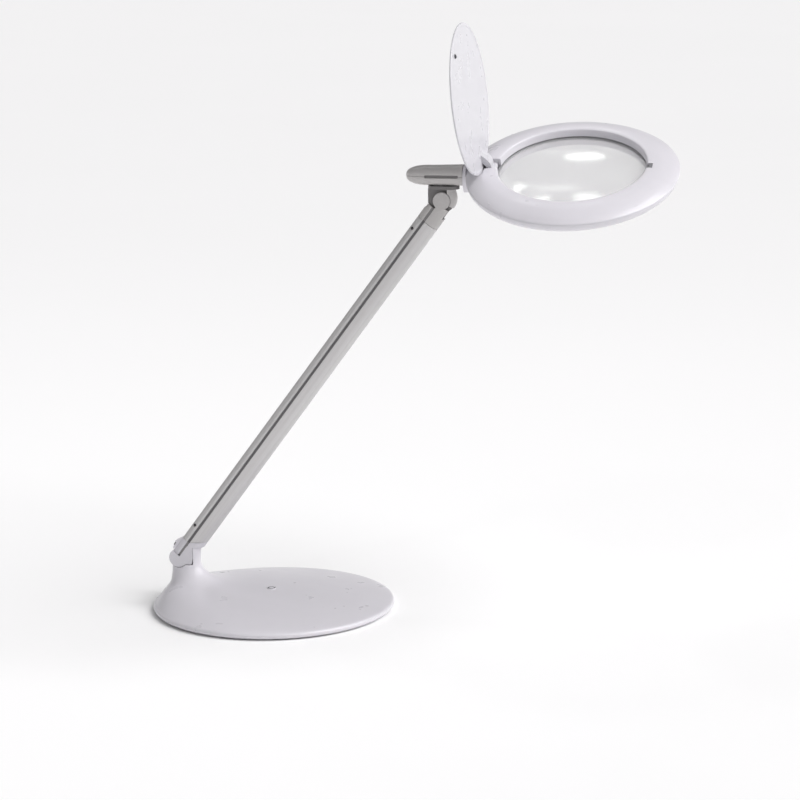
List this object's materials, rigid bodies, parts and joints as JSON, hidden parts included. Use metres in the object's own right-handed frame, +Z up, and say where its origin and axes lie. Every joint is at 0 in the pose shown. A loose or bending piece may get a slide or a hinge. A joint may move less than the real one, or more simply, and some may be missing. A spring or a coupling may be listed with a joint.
{
  "type": "magnifying lamp",
  "caption": "Desk magnifying lamp: domed round base, tilting arm, swivelling link and a lit round lens head with a flip-up cover.",
  "frame": {"origin": "centre of the round base, on the surface that it stands on", "axes": "+Z up, +X forward from the neck to the lens head, +Y to the lamp's left; the arm moves in the XZ plane"},
  "size_m": [0.4631, 0.2132, 0.5165],
  "materials": {
    "white_plastic": "semi-gloss moulded white",
    "satin_silver": "satin silver paint on moulded plastic",
    "aluminium": "satin anodised extrusion",
    "steel": "plain",
    "dark_steel": "blackened",
    "cast_iron": "painted casting",
    "rubber": "matt",
    "nylon": "plain",
    "black_plastic": "matt moulded",
    "circuit_board": "solder mask",
    "opal_plastic": "opal diffuser",
    "lens_glass": "polished"
  },
  "bodies": {
    "base": {"base_cover": "white_plastic", "base_pad": "rubber", "base_plate": "steel", "base_weight": "cast_iron", "base_screw_1": "dark_steel", "base_screw_2": "dark_steel", "base_screw_3": "dark_steel", "switch_board": "circuit_board", "button_dome": "rubber", "dc_socket": "black_plastic"},
    "button": {"power_button": "white_plastic"},
    "arm": {"arm_front_tube": "aluminium", "arm_rear_channel": "aluminium", "lower_fitting": "white_plastic", "lower_rear_cap": "white_plastic", "rear_cap_screw": "dark_steel", "upper_elbow": "satin_silver", "elbow_rear_cap": "satin_silver", "channel_screw_low": "dark_steel", "channel_screw_high": "dark_steel", "arm_cable": "rubber", "lower_pivot_bolt": "dark_steel", "elbow_pin": "dark_steel", "lower_washer_near": "nylon", "lower_washer_far": "nylon", "elbow_washer_near": "nylon", "elbow_washer_far": "nylon"},
    "post": {"swivel_post": "satin_silver", "swivel_nut": "steel", "swivel_washer": "nylon"},
    "link": {"link_top_cover": "satin_silver", "link_bottom_cover": "satin_silver", "link_screw": "dark_steel"},
    "head": {"head_top_shell": "white_plastic", "head_bottom_shell": "white_plastic", "lens": "lens_glass", "lens_gasket": "rubber", "led_board": "circuit_board", "diffuser_ring": "opal_plastic", "head_screw_1": "dark_steel", "head_screw_2": "dark_steel", "head_screw_3": "dark_steel", "head_screw_4": "dark_steel", "hinge_pin": "steel", "cover_catch": "black_plastic", "twist_retainer": "steel"},
    "cover": {"lens_cover": "white_plastic", "cover_bumper": "rubber"}
  },
  "joints": [
    {"name": "arm_tilt", "type": "hinge", "parent": "base", "child": "arm", "pos_m": [-0.0851, 0, 0.0423], "axis": [0, 1, 0], "range_deg": [-57, 0]},
    {"name": "elbow_tilt", "type": "hinge", "parent": "arm", "child": "post", "pos_m": [0.15608, 0, 0.36516], "axis": [0, 1, 0], "range_deg": [-45, 20]},
    {"name": "link_swivel", "type": "hinge", "parent": "post", "child": "link", "pos_m": [0.15608, 0, 0.3864], "axis": [0, 0, 1], "range_deg": [-90, 90]},
    {"name": "head_twist", "type": "hinge", "parent": "link", "child": "head", "pos_m": [0.1744, 0, 0.3864], "axis": [1, 0, 0], "range_deg": [-111.1, 68.9]},
    {"name": "cover_flip", "type": "hinge", "parent": "head", "child": "cover", "pos_m": [0.1999, -0.00212, 0.3919], "axis": [0, 0.933, 0.36], "range_deg": [0, 96.6]},
    {"name": "button_press", "type": "slide", "parent": "base", "child": "button", "axis": [0, 0, -1], "range_m": [0, 0.001], "stiffness_N_per_m": 600, "springref_m": -0.0005, "deforming": ["button_dome"]}
  ]
}
